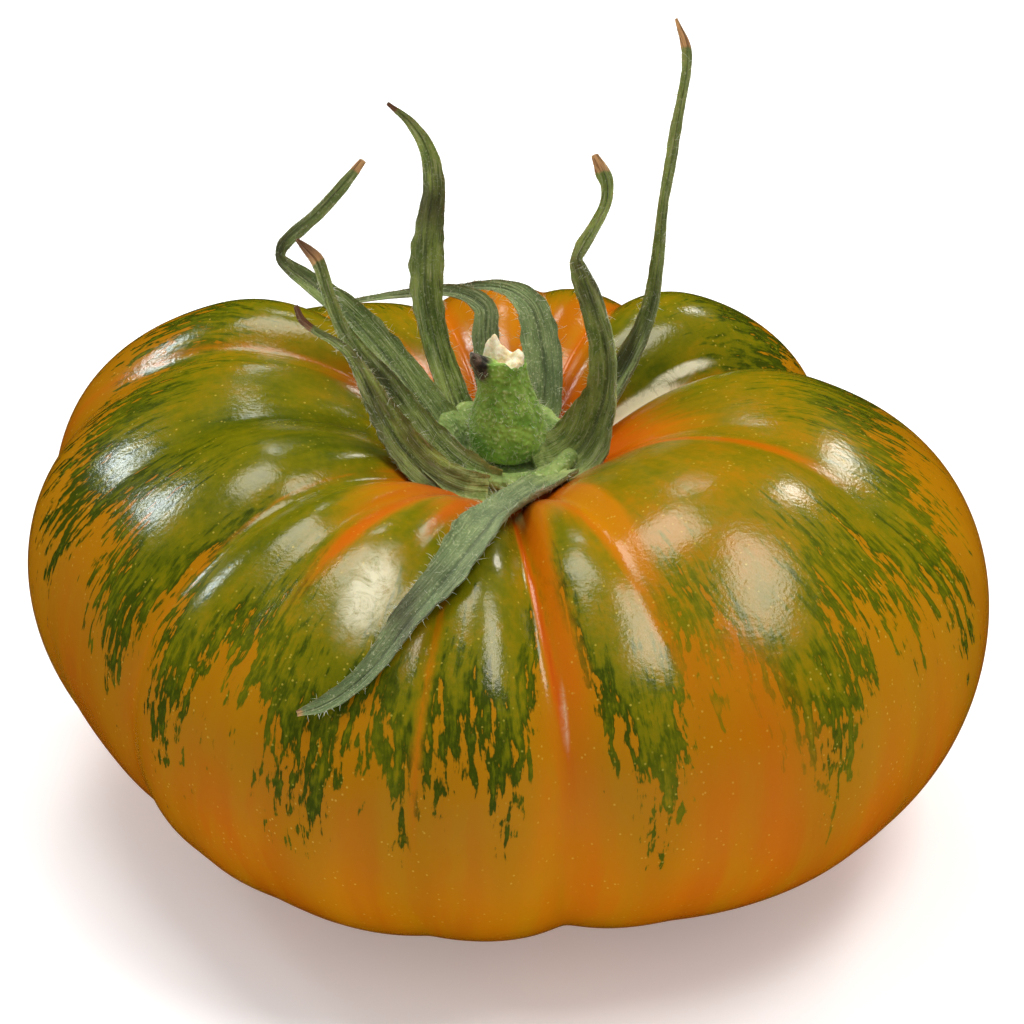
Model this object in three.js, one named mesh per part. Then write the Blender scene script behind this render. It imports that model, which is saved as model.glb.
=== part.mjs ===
// A ribbed beefsteak tomato resting on its blossom end, with the dried calyx and the snapped stub of
// its stalk standing in the hollow at the top. Millimetres, +Z up.
// The origin is the middle of the flat spot the fruit rests on, under the axis of the stalk.
// Angles are degrees round that axis, from +X towards +Y. The front of the fruit faces -Y.
import * as THREE from "three";
import { NURBSCurve } from "three/addons/curves/NURBSCurve.js";

const TURN = 360;
const DEGREES = Math.PI / 180;

// Driving dimensions of the fruit. A rib reaches out by its radius and up by its height, and the
// profile below is drawn for a rib of the nominal size.
const NOMINAL_RIB = 50;
const CAVITY_FLOOR = 39.2;
const BODY_SWAY = new THREE.Vector2(-0.5, -0.8);
const FRUIT_COLUMNS = 120;
const FRUIT_RINGS = 28;

// Control points of the meridian, from the cavity floor over the shoulder to the flat spot.
// cutIn and cutDown are the shares of a furrow's depth taken off the radius and off the height,
// rise is the share of a rib's extra height, round is how far the point keeps to a true circle,
// and sway is the share of the body's lean off the stalk's axis.
const MERIDIAN = [
  { r: 0, z: CAVITY_FLOOR, cutIn: 0, cutDown: 0, rise: 0, round: 1, sway: 0 },
  { r: 4, z: CAVITY_FLOOR, cutIn: 0, cutDown: 0, rise: 0, round: 1, sway: 0 },
  { r: 7, z: CAVITY_FLOOR + 0.5, cutIn: 0, cutDown: 0.1, rise: 0.2, round: 0.8, sway: 0 },
  { r: 10.5, z: 42.5, cutIn: 0.05, cutDown: 0.35, rise: 0.6, round: 0.5, sway: 0.1 },
  { r: 18, z: 48.5, cutIn: 0.1, cutDown: 0.8, rise: 1, round: 0.2, sway: 0.4 },
  { r: 30, z: 50.5, cutIn: 0.45, cutDown: 0.9, rise: 1, round: 0, sway: 0.8 },
  { r: 38.5, z: 47, cutIn: 0.85, cutDown: 0.6, rise: 0.9, round: 0, sway: 1 },
  { r: 51.5, z: 38, cutIn: 1, cutDown: 0.1, rise: 0.6, round: 0, sway: 1 },
  { r: 53, z: 22.5, cutIn: 0.9, cutDown: 0, rise: 0.2, round: 0, sway: 1 },
  { r: 46.5, z: 9, cutIn: 0.6, cutDown: -0.2, rise: 0, round: 0, sway: 1 },
  { r: 31.5, z: 1, cutIn: 0.25, cutDown: -0.1, rise: 0, round: 0, sway: 0.6 },
  { r: 20, z: 0, cutIn: 0, cutDown: 0, rise: 0, round: 0.7, sway: 0.2 },
  { r: 14, z: 0, cutIn: 0, cutDown: 0, rise: 0, round: 1, sway: 0 },
  { r: 7, z: 0, cutIn: 0, cutDown: 0, rise: 0, round: 1, sway: 0 },
  { r: 0, z: 0, cutIn: 0, cutDown: 0, rise: 0, round: 1, sway: 0 },
];

// The ribs' reach and height, read off at the middle of each rib round the fruit.
const RIBS = [
  { at: 6, radius: 49.5, height: 49 },
  { at: 47, radius: 47, height: 51 },
  { at: 74, radius: 47, height: 49 },
  { at: 93, radius: 48.5, height: 48 },
  { at: 119, radius: 47.5, height: 47.5 },
  { at: 150, radius: 52.5, height: 53 },
  { at: 179, radius: 50.5, height: 49.5 },
  { at: 203, radius: 47, height: 49.5 },
  { at: 224, radius: 49, height: 49 },
  { at: 238, radius: 49.5, height: 48.5 },
  { at: 252, radius: 50, height: 48 },
  { at: 267, radius: 49.5, height: 48 },
  { at: 285, radius: 49, height: 48 },
  { at: 317, radius: 52, height: 50.5 },
];

// The furrows between the ribs: where each lies at the shoulder, its depth in millimetres, its half
// width in degrees, how far it wanders round the fruit from stalk to base, and the share of its
// depth that is left below the waist.
const FURROWS = [
  { at: 30, depth: 8, width: 9, drift: 0, low: 0.8 },
  { at: 66, depth: 4, width: 8, drift: 0, low: 0.8 },
  { at: 83, depth: 2, width: 6, drift: 0, low: 0.5 },
  { at: 104, depth: 3.5, width: 8, drift: 0, low: 0.8 },
  { at: 135, depth: 3, width: 9, drift: 0, low: 0.7 },
  { at: 166, depth: 2.6, width: 7, drift: 25, low: 0.8 },
  { at: 191, depth: 1, width: 9, drift: 10, low: 0.3 },
  { at: 217.5, depth: 2.6, width: 6, drift: -25, low: 0.9 },
  { at: 230, depth: 1.8, width: 6, drift: -38, low: 0.3 },
  { at: 245.5, depth: 1.6, width: 5, drift: -60, low: 0.2 },
  { at: 259, depth: 1.8, width: 4.5, drift: 0, low: 0.4 },
  { at: 276.5, depth: 4, width: 5, drift: 18, low: 0.7 },
  { at: 293, depth: 1.4, width: 6, drift: 10, low: 0.2 },
  { at: 330, depth: 1.4, width: 8, drift: -75, low: 0 },
];
const FURROW_BLUNTNESS = 0.08;
const FURROW_POWER = 1.2;
const WAIST = 0.5;
const FADE_LENGTH = 0.25;

// The base of the calyx: a small dish of flesh on the cavity floor that the sepals grow from.
const BASE_PROFILE = [
  [0, 39.8],
  [3.5, 39.8],
  [6.4, 41],
  [6.8, 41.8],
  [6.2, 42.6],
  [5.2, 42.4],
  [4.8, 41.5],
  [4.3, 41],
  [0, 41],
];
const BASE_SIDES = 28;

// The stalk's stub, pear-shaped, with the dark knob of a broken side shoot high on its left.
const STALK_PROFILE = [
  [2.6, 41.3],
  [3.6, 41.9],
  [4.15, 43.2],
  [4.05, 45],
  [3.5, 47.2],
  [2.85, 49.3],
  [2.45, 51],
  [2.35, 52.2],
];
const STALK_SIDES = 20;
const STALK_LEAN = new THREE.Vector2(-0.06, 0.02);
const KNOB = { at: 195, height: 51.2, reach: 1.3, width: 38, tall: 1.1 };

// The torn pith on top of the stub: a pale ragged plug, highest at the back left.
const PITH_BASE = 52.5;
const PITH_RADIUS = 2;
const PITH_HEIGHT = 1.3;
const PITH_TILT = { at: 150, rise: 0.8 };
const PITH_TEETH = { count: 5, rise: 0.25, out: 0.2 };
const PITH_SIDES = 20;

// The sepals, in order round the calyx. Each centre line is x, y, z and the width there, from root
// to tip. faceRoot and faceTip are the directions that the inner face looks in at each end.
const SEPALS = [
  {
    name: "sepal_right_kinked",
    faceRoot: [-0.6, -0.7, 0.4],
    faceTip: [-0.4, -0.9, 0.1],
    line: [
      [8, -2.1, 42.7, 3.2],
      [9.2, -2, 45.2, 3.6],
      [10.1, -2, 49.4, 3.6],
      [9.7, -2, 54.8, 3.2],
      [8.6, -2, 60, 2.8],
      [6.9, -2, 65, 1.6],
      [8.5, -2.2, 68.1, 1.5],
      [10.2, -2.4, 71.5, 1.4],
      [10.4, -2.4, 74.4, 1.3],
      [8.8, -2.2, 77.4, 0.8],
    ],
  },
  {
    name: "sepal_right_long",
    faceRoot: [-0.6, -0.5, 0.6],
    faceTip: [-0.4, -0.9, 0.1],
    line: [
      [7.4, 3.2, 42.2, 3.4],
      [9.2, 4.5, 44.3, 3.8],
      [11.9, 6, 47.6, 3],
      [13.8, 6.5, 51.5, 2.2],
      [15, 7, 56, 1.6],
      [16, 7, 62, 1.4],
      [16.7, 7, 68.4, 1.3],
      [17.6, 7, 75, 1.1],
      [18.2, 6.8, 82, 1],
      [17.1, 6.5, 88.8, 0.8],
    ],
  },
  {
    name: "sepal_back_right",
    faceRoot: [-0.2, -0.9, 0.4],
    faceTip: [0, -0.5, 1],
    line: [
      [3.5, 7.1, 42.2, 3.4],
      [3.8, 9, 45, 4.2],
      [3.4, 12, 48.6, 4.2],
      [2.2, 15, 51.6, 3.2],
      [-1, 18, 52.2, 1.6],
      [-6.8, 20.5, 50.8, 0.8],
    ],
  },
  {
    name: "sepal_back_left",
    faceRoot: [0.1, -0.9, 0.4],
    faceTip: [0, -0.4, 1],
    line: [
      [-1.2, 7.8, 41.9, 2.8],
      [-2.4, 9.9, 45.6, 2.6],
      [-2.6, 12, 49.4, 2.8],
      [-2.8, 14, 51.8, 2.4],
      [-5.9, 16, 52.6, 1.6],
      [-11.4, 17.5, 51.6, 1.1],
      [-17.3, 18, 50.4, 0.8],
    ],
  },
  {
    name: "sepal_upright",
    faceRoot: [0.4, -0.9, 0.4],
    faceTip: [0.2, -1, 0.1],
    line: [
      [-5.2, 5.8, 42.4, 3],
      [-6.5, 8, 45.3, 3],
      [-8, 9.5, 50, 2.8],
      [-8.9, 10, 55.8, 3.3],
      [-8.7, 10, 61.7, 3.4],
      [-8.1, 9.5, 67.8, 2.2],
      [-8.6, 9, 72.7, 1.7],
      [-10.3, 8.5, 76.1, 1.1],
      [-12.7, 8, 78.7, 0.8],
    ],
  },
  {
    name: "sepal_left_kinked",
    faceRoot: [0.6, -0.5, 0.6],
    faceTip: [0.3, -0.9, 0.2],
    line: [
      [-7.6, 2.6, 42.7, 3.4],
      [-11.2, 4, 48.2, 4],
      [-14.9, 5, 53.5, 3.4],
      [-19.6, 6, 58.6, 2],
      [-24.4, 6.5, 61.4, 1.1],
      [-20.4, 6, 66.8, 1.5],
      [-15.4, 5, 73.4, 0.8],
    ],
  },
  {
    name: "sepal_left_broad",
    faceRoot: [0.5, -0.7, 0.5],
    faceTip: [0.4, -0.9, 0.3],
    line: [
      [-7.7, -2.7, 43, 3.6],
      [-10.4, -3.2, 47.6, 4.4],
      [-13.4, -4, 52.2, 3.4],
      [-16.6, -4.5, 57.7, 2.4],
      [-19.2, -4.5, 63, 1.4],
      [-21.8, -4.5, 68.8, 0.8],
    ],
  },
  {
    name: "sepal_left_withered",
    faceRoot: [0.4, -0.6, 0.6],
    faceTip: [0.4, -0.8, 0.4],
    line: [
      [-5, -6.9, 42.8, 3.4],
      [-8.4, -8.1, 45.3, 4],
      [-11.5, -8.6, 49, 3.4],
      [-14.1, -8.5, 53, 2.2],
      [-16.6, -8, 57, 1.2],
      [-21.9, -8, 62.8, 0.8],
    ],
  },
  {
    name: "sepal_front",
    faceRoot: [-0.1, 0.1, 1],
    faceTip: [-0.4, -0.7, 0.6],
    line: [
      [5, -7.2, 42.9, 3.2],
      [1.8, -13, 44.4, 4.2],
      [-2.3, -22, 47.5, 5],
      [-5.5, -31, 47.9, 4.6],
      [-8.5, -38, 46.2, 4],
      [-12, -43, 43.3, 2.8],
      [-16, -46.1, 40.1, 1.8],
      [-20.9, -47.6, 36.5, 0.8],
    ],
  },
];
const SEPAL_THICKNESS = 0.8;
const SEPAL_STEPS = 16;
const SEPAL_ACROSS = [-1, -0.4, 0.4, 1];
const SEPAL_CHANNEL = 0.14;

// Cubic through the ribs' values, with the slope at each rib taken from the ribs on either side.
function roundTheFruit(angle, key) {
  const count = RIBS.length;
  const ahead = (from, to) => THREE.MathUtils.euclideanModulo(to - from, TURN);
  const gapAfter = (k) => ahead(RIBS[k % count].at, RIBS[(k + 1) % count].at);
  const slopeAt = (k) => {
    const before = (k + count - 1) % count;
    const rise = RIBS[(k + 1) % count][key] - RIBS[before][key];
    return rise / (gapAfter(k) + gapAfter(before));
  };
  let k = 0;
  RIBS.forEach((rib, i) => {
    if (ahead(rib.at, angle) < ahead(RIBS[k].at, angle)) k = i;
  });
  const next = (k + 1) % count;
  const gap = gapAfter(k);
  const u = ahead(RIBS[k].at, angle) / gap;
  return (
    (2 * u ** 3 - 3 * u ** 2 + 1) * RIBS[k][key] +
    (u ** 3 - 2 * u ** 2 + u) * gap * slopeAt(k) +
    (-2 * u ** 3 + 3 * u ** 2) * RIBS[next][key] +
    (u ** 3 - u ** 2) * gap * slopeAt(next)
  );
}

// Depth of all furrows at one angle and one place down the meridian, 0 at the stalk and 1 at the
// base: each is a blunt valley that falls away on both sides as exp(-|x|^1.2).
function furrowDepth(angle, down) {
  return FURROWS.reduce((sum, { at, depth, width, drift, low }) => {
    const centre = at + drift * (down - WAIST);
    const away = THREE.MathUtils.euclideanModulo(angle - centre + TURN / 2, TURN) - TURN / 2;
    const x = Math.hypot(away / width, FURROW_BLUNTNESS) - FURROW_BLUNTNESS;
    const fade = THREE.MathUtils.clamp(1 - (down - WAIST) / FADE_LENGTH, 0, 1);
    return sum + depth * (low + (1 - low) * fade) * Math.exp(-(x ** FURROW_POWER));
  }, 0);
}

// The meridian at one angle: a clamped cubic B-spline through its pushed and cut control points.
function meridianCurve(angle) {
  const reach = roundTheFruit(angle, "radius") / NOMINAL_RIB;
  const extra = roundTheFruit(angle, "height") - NOMINAL_RIB;
  const points = MERIDIAN.map((p, i) => {
    const cut = furrowDepth(angle, i / (MERIDIAN.length - 1));
    const radius = p.r * (p.round + (1 - p.round) * reach) - p.cutIn * cut;
    const height = p.z + p.rise * extra - p.cutDown * cut;
    const x = radius * Math.cos(angle * DEGREES);
    const y = radius * Math.sin(angle * DEGREES);
    return new THREE.Vector4(x + BODY_SWAY.x * p.sway, y + BODY_SWAY.y * p.sway, height, 1);
  });
  const degree = 3;
  const spans = points.length - degree;
  const inner = Array.from({ length: spans - 1 }, (_, i) => (i + 1) / spans);
  const knots = [0, 0, 0, 0, ...inner, 1, 1, 1, 1];
  return new NURBSCurve(degree, knots, points);
}

// A closed body from a stack of rings with a point at each end.
function ringBody(firstPoint, rings, lastPoint) {
  const sides = rings[0].length;
  const points = [firstPoint, ...rings.flat(), lastPoint];
  const last = points.length - 1;
  const at = (ring, side) => 1 + ring * sides + (side % sides);
  const faces = [];
  for (let side = 0; side < sides; side++) {
    faces.push(0, at(0, side + 1), at(0, side));
    for (let ring = 0; ring + 1 < rings.length; ring++) {
      faces.push(at(ring, side), at(ring, side + 1), at(ring + 1, side));
      faces.push(at(ring, side + 1), at(ring + 1, side + 1), at(ring + 1, side));
    }
    faces.push(last, at(rings.length - 1, side), at(rings.length - 1, side + 1));
  }
  return outward(points, faces);
}

// A closed blade from two matching grids of points, split into triangles alike on both faces.
function bladeBody(upper, lower) {
  const rows = upper.length;
  const across = upper[0].length;
  const points = [...upper.flat(), ...lower.flat()];
  const top = (i, j) => i * across + j;
  const under = (i, j) => rows * across + top(i, j);
  const faces = [];
  for (let i = 0; i + 1 < rows; i++) {
    for (let j = 0; j + 1 < across; j++) {
      faces.push(top(i, j), top(i + 1, j), top(i, j + 1));
      faces.push(top(i + 1, j), top(i + 1, j + 1), top(i, j + 1));
      faces.push(under(i, j), under(i, j + 1), under(i + 1, j));
      faces.push(under(i + 1, j), under(i, j + 1), under(i + 1, j + 1));
    }
    for (const [j, one, other] of [[0, top, under], [across - 1, under, top]]) {
      faces.push(one(i, j), other(i, j), other(i + 1, j));
      faces.push(one(i, j), other(i + 1, j), one(i + 1, j));
    }
  }
  for (let j = 0; j + 1 < across; j++) {
    for (const [i, one, other] of [[0, under, top], [rows - 1, top, under]]) {
      faces.push(one(i, j), other(i, j), other(i, j + 1));
      faces.push(one(i, j), other(i, j + 1), one(i, j + 1));
    }
  }
  return outward(points, faces);
}

// Indexed geometry with its faces turned outwards, whichever way round they were listed.
function outward(points, faces) {
  let volume = 0;
  for (let i = 0; i < faces.length; i += 3) {
    const [a, b, c] = [points[faces[i]], points[faces[i + 1]], points[faces[i + 2]]];
    volume += a.dot(new THREE.Vector3().crossVectors(b, c));
  }
  if (volume < 0) faces.reverse();
  const geometry = new THREE.BufferGeometry().setFromPoints(points).setIndex(faces);
  geometry.computeVertexNormals();
  return geometry;
}

function fruitGeometry() {
  const meridians = Array.from({ length: FRUIT_COLUMNS }, (_, i) =>
    meridianCurve((i * TURN) / FRUIT_COLUMNS),
  );
  const rings = Array.from({ length: FRUIT_RINGS }, (_, i) =>
    meridians.map((curve) => curve.getPoint((i + 1) / (FRUIT_RINGS + 1))),
  );
  return ringBody(new THREE.Vector3(0, 0, CAVITY_FLOOR), rings, new THREE.Vector3());
}

// The stub's radius follows its profile, and the knob swells out of it as a rounded bump.
function stalkGeometry() {
  const foot = STALK_PROFILE[0][1];
  const lean = (z) => new THREE.Vector3(STALK_LEAN.x, STALK_LEAN.y, 0).multiplyScalar(z - foot);
  const rings = STALK_PROFILE.map(([radius, z]) =>
    Array.from({ length: STALK_SIDES }, (_, i) => {
      const angle = (i * TURN) / STALK_SIDES;
      const aside = (angle - KNOB.at) / KNOB.width;
      const bump = KNOB.reach * Math.exp(-(aside ** 2) - ((z - KNOB.height) / KNOB.tall) ** 2);
      const reach = radius + bump;
      const x = reach * Math.cos(angle * DEGREES);
      const y = reach * Math.sin(angle * DEGREES);
      return new THREE.Vector3(x, y, z).add(lean(z));
    }),
  );
  const top = STALK_PROFILE[STALK_PROFILE.length - 1][1];
  const crown = new THREE.Vector3(0, 0, top).add(lean(top));
  return ringBody(new THREE.Vector3(0, 0, foot), rings, crown);
}

// A plug whose top edge tilts and is notched with torn teeth.
function pithGeometry() {
  const lean = STALK_LEAN.clone().multiplyScalar(PITH_BASE - STALK_PROFILE[0][1]);
  const wave = (angle) => Math.cos(PITH_TEETH.count * angle * DEGREES);
  const tilt = (angle) => PITH_TILT.rise * Math.cos((angle - PITH_TILT.at) * DEGREES);
  const ring = (share, height) =>
    Array.from({ length: PITH_SIDES }, (_, i) => {
      const angle = (i * TURN) / PITH_SIDES;
      const radius = (PITH_RADIUS + PITH_TEETH.out * wave(angle)) * share;
      const rise = height * (PITH_HEIGHT + tilt(angle) * share + PITH_TEETH.rise * wave(angle));
      const x = lean.x + radius * Math.cos(angle * DEGREES);
      const y = lean.y + radius * Math.sin(angle * DEGREES);
      return new THREE.Vector3(x, y, PITH_BASE + rise);
    });
  const rings = [ring(0.9, 0), ring(1, 0.5), ring(0.95, 1), ring(0.55, 0.95)];
  const low = new THREE.Vector3(lean.x, lean.y, PITH_BASE);
  const high = new THREE.Vector3(lean.x, lean.y, PITH_BASE + PITH_HEIGHT * 0.8);
  return ringBody(low, rings, high);
}

// A sepal: a thin channel carried along its centre line, its midrib sunk below its edges.
function sepalGeometry({ line, faceRoot, faceTip }) {
  const centre = new THREE.CatmullRomCurve3(
    line.map(([x, y, z]) => new THREE.Vector3(x, y, z)),
    false,
    "catmullrom",
  );
  const widths = new THREE.CatmullRomCurve3(
    line.map(([, , , width]) => new THREE.Vector3(width, 0, 0)),
    false,
    "catmullrom",
  );
  const face = new THREE.Vector3();
  const grid = (side) =>
    Array.from({ length: SEPAL_STEPS + 1 }, (_, i) => {
      const t = i / SEPAL_STEPS;
      face.fromArray(faceRoot).lerp(new THREE.Vector3().fromArray(faceTip), t);
      const along = centre.getTangent(t);
      const sideways = new THREE.Vector3().crossVectors(along, face).normalize();
      const inward = new THREE.Vector3().crossVectors(sideways, along);
      const width = widths.getPoint(t).x;
      return SEPAL_ACROSS.map((u) => {
        const sink = SEPAL_CHANNEL * width * (u * u - 1);
        return centre
          .getPoint(t)
          .addScaledVector(sideways, (u * width) / 2)
          .addScaledVector(inward, sink + (side * SEPAL_THICKNESS) / 2);
      });
    });
  return bladeBody(grid(1), grid(-1));
}

const finishes = {
  skin: new THREE.MeshStandardMaterial({ color: 0xc07a18, roughness: 0.25, metalness: 0 }),
  calyx: new THREE.MeshStandardMaterial({ color: 0x7d8f55, roughness: 0.8, metalness: 0 }),
  stalk: new THREE.MeshStandardMaterial({ color: 0x4c6a2c, roughness: 0.8, metalness: 0 }),
  pith: new THREE.MeshStandardMaterial({ color: 0xf0e2b8, roughness: 0.9, metalness: 0 }),
  sepal: new THREE.MeshStandardMaterial({ color: 0x56683a, roughness: 0.75, metalness: 0 }),
};

function named(name, geometry, material) {
  const mesh = new THREE.Mesh(geometry, material);
  mesh.name = name;
  return mesh;
}

const dish = BASE_PROFILE.map(([r, z]) => new THREE.Vector2(r, z));
const calyxBase = new THREE.LatheGeometry(dish, BASE_SIDES).rotateX(Math.PI / 2);

const tomato = new THREE.Group();
tomato.add(
  named("fruit", fruitGeometry(), finishes.skin),
  named("calyx_base", calyxBase, finishes.calyx),
  named("stalk", stalkGeometry(), finishes.stalk),
  named("stalk_pith", pithGeometry(), finishes.pith),
  ...SEPALS.map((sepal) => named(sepal.name, sepalGeometry(sepal), finishes.sepal)),
);

export default tomato;
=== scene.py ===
"""A ripe ribbed beefsteak tomato with dried sepals and a snapped stalk stub, resting on its flat base."""

import bpy
import numpy as np
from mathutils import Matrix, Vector


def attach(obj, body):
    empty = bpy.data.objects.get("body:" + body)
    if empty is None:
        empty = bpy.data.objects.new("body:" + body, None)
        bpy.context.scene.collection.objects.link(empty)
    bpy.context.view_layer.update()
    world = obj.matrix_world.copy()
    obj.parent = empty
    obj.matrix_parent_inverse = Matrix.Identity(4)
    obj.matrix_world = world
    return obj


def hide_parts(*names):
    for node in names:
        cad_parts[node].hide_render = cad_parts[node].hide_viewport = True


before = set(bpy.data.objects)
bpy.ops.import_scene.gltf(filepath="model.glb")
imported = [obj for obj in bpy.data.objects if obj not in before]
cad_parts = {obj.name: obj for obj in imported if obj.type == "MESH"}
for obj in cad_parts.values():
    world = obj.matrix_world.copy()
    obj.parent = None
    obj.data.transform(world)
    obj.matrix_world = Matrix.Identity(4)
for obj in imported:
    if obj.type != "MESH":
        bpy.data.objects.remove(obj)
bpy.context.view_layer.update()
scene = bpy.context.scene

# ---- The fruit
# A low, broad fruit of firm flesh under one thin glossy skin, grown as a ring of unequal ribs
# with furrows between them. The ribs roll over into a hollow at the top, where the calyx is set,
# and the underside ends in the flat spot that the fruit rests on.

MM = 0.001
NOMINAL_RIB = 50
# Radius, height, furrow cut inwards, furrow cut down, share of rib height, roundness, sway.
MERIDIAN = np.array(
    [
        (0, 39.2, 0, 0, 0, 1, 0),
        (4, 39.2, 0, 0, 0, 1, 0),
        (7, 39.7, 0, 0.1, 0.2, 0.8, 0),
        (10.5, 42.5, 0.05, 0.35, 0.6, 0.5, 0.1),
        (18, 48.5, 0.1, 0.8, 1, 0.2, 0.4),
        (30, 50.5, 0.45, 0.9, 1, 0, 0.8),
        (38.5, 47, 0.85, 0.6, 0.9, 0, 1),
        (51.5, 38, 1, 0.1, 0.6, 0, 1),
        (53, 22.5, 0.9, 0, 0.2, 0, 1),
        (46.5, 9, 0.6, -0.2, 0, 0, 1),
        (31.5, 1, 0.25, -0.1, 0, 0, 0.6),
        (20, 0, 0, 0, 0, 0.7, 0.2),
        (14, 0, 0, 0, 0, 1, 0),
        (7, 0, 0, 0, 0, 1, 0),
        (0, 0, 0, 0, 0, 1, 0),
    ]
)
# How far a ring with full sway stands off the axis in mm.
BODY_SWAY = np.array((-0.5, -0.8))
# Azimuth of each rib's crest, its reach from the axis and its height.
RIBS = np.array(
    [
        (6, 49.5, 49), (47, 47, 51), (74, 47, 49), (93, 48.5, 48), (119, 47.5, 47.5),
        (150, 52.5, 53), (179, 50.5, 49.5), (203, 47, 49.5), (224, 49, 49), (238, 49.5, 48.5),
        (252, 50, 48), (267, 49.5, 48), (285, 49, 48), (317, 52, 50.5),
    ]
)
# Azimuth of each furrow at the waist, depth, width in degrees, drift from top to base, depth left low down.
FURROWS = np.array(
    [
        (30, 8, 9, 0, 0.8), (66, 4, 8, 0, 0.8), (83, 2, 6, 0, 0.5),
        (104, 3.5, 8, 0, 0.8), (135, 3, 9, 0, 0.7), (166, 2.6, 7, 25, 0.8),
        (191, 1, 9, 10, 0.3), (217.5, 2.6, 6, -25, 0.9), (230, 1.8, 6, -38, 0.3),
        (245.5, 1.6, 5, -60, 0.2), (259, 1.8, 4.5, 0, 0.4), (276.5, 4, 5, 18, 0.7),
        (293, 1.4, 6, 10, 0.2), (330, 1.4, 8, -75, 0),
    ]
)
FURROW_BLUNTNESS = 0.08
FURROW_POWER = 1.2
WAIST = 0.5
FADE_LENGTH = 0.25
FRUIT_COLUMNS = 600
FRUIT_RINGS = 160
OUTLINE_STEPS = 2001


def turned(angles, centre):
    """Signed angle in degrees from centre to each angle, between -180 and 180."""
    return np.mod(angles - centre + 180, 360) - 180


def hermite(u, gap, start, end, slope_start, slope_end):
    """Cubic from start to end at share u of the gap, with those slopes at its ends."""
    return (
        (2 * u**3 - 3 * u**2 + 1) * start
        + (u**3 - 2 * u**2 + u) * gap * slope_start
        + (3 * u**2 - 2 * u**3) * end
        + (u**3 - u**2) * gap * slope_end
    )


def round_spline(angles, at, values):
    """Closed cubic Hermite curve through values at the azimuths at. Each slope is the rise from the value
    before to the value after, over the gap between them."""
    gap = np.mod(np.roll(at, -1) - at, 360)
    slope = (np.roll(values, -1) - np.roll(values, 1)) / (gap + np.roll(gap, 1))
    past = np.mod(angles[:, None] - at[None, :], 360)
    i = past.argmin(axis=1)
    g = gap[i]
    u = past[np.arange(len(i)), i] / g
    j = (i + 1) % len(at)
    return hermite(u, g, values[i], values[j], slope[i], slope[j])


def spline_weights(s, count):
    """Weight of each of count control points of a clamped uniform cubic B-spline at s from 0 to 1: the
    recursion that blends each lower degree's two neighbours by how far s has climbed between their knots."""
    degree = 3
    knots = np.r_[np.zeros(degree), np.linspace(0, 1, count - degree + 1), np.ones(degree)]
    s = s[:, None]
    weights = ((knots[:-1] <= s) & (s < knots[1:])).astype(float)
    weights[s[:, 0] >= 1, count - 1] = 1
    for d in range(1, degree + 1):
        rise = knots[d:-1] - knots[: -d - 1]
        fall = knots[d + 1 :] - knots[1:-d]
        climbing = np.where(rise > 0, (s - knots[: -d - 1]) / np.where(rise > 0, rise, 1), 0)
        falling = np.where(fall > 0, (knots[d + 1 :] - s) / np.where(fall > 0, fall, 1), 0)
        weights = climbing * weights[:, :-1] + falling * weights[:, 1:]
    return weights


def furrow_field(angles, down):
    """Depth of the furrows: the sum of each one's depth times exp(-x^1.2), where x is the blunted angle
    from its centre line over its width, faded below the waist."""
    at, depth, width, drift, low = FURROWS.T[:, :, None, None]
    past_waist = down[None, :, None] - WAIST
    a = turned(angles[None, None, :], at + drift * past_waist)
    x = np.hypot(a / width, FURROW_BLUNTNESS) - FURROW_BLUNTNESS
    fade = low + (1 - low) * np.clip(1 - past_waist / FADE_LENGTH, 0, 1)
    return (depth * fade * np.exp(-(x**FURROW_POWER))).sum(axis=0)


def fruit_points(angles, s):
    """Rows of points: the control radius r (round + (1 - round) R / 50), with R the rib's reach, less the
    furrow's cut; the control height raised by the rib less the cut; both smoothed by the B-spline."""
    r, z, cut_in, cut_down, rise, roundness, sway = MERIDIAN.T[:, :, None]
    at, reach, height = RIBS.T
    down = np.arange(len(MERIDIAN)) / (len(MERIDIAN) - 1)
    cut = furrow_field(angles, down)
    out = r * (roundness + (1 - roundness) * round_spline(angles, at, reach) / NOMINAL_RIB) - cut_in * cut
    up = z + rise * (round_spline(angles, at, height) - NOMINAL_RIB) - cut_down * cut
    weights = spline_weights(s, len(MERIDIAN))
    out, up, sway = weights @ out, weights @ up, weights @ sway
    a = np.radians(angles)
    return np.stack([out * np.cos(a) + BODY_SWAY[0] * sway, out * np.sin(a) + BODY_SWAY[1] * sway, up], axis=-1)


def ring_faces(rings, columns, flipped=False):
    """Quads between closed rings of points, and a fan of triangles to the first and last point."""
    i = 1 + np.arange(rings - 1)[:, None] * columns
    j = np.arange(columns)[None, :]
    k = (j + 1) % columns
    quads = np.stack([i + j, i + columns + j, i + columns + k, i + k], axis=-1).reshape(-1, 4)
    last = 1 + rings * columns
    top = np.stack([0 * j[0], 1 + j[0], 1 + k[0]], axis=-1)
    end = np.stack([0 * j[0] + last, last - columns + k[0], last - columns + j[0]], axis=-1)
    faces = quads.tolist() + top.tolist() + end.tolist()
    return [face[::-1] for face in faces] if flipped else faces


def new_piece(name, points, faces, node_names, material):
    """A smooth mesh object from points in mm, riding on the one body, standing for its CAD nodes."""
    mesh = bpy.data.meshes.new(name)
    mesh.from_pydata(np.asarray(points, float) * MM, [], faces)
    mesh.polygons.foreach_set("use_smooth", np.ones(len(mesh.polygons), bool))
    mesh.materials.append(material)
    piece = bpy.data.objects.new(name, mesh)
    scene.collection.objects.link(piece)
    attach(piece, "root")
    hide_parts(*node_names)
    return piece


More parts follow.
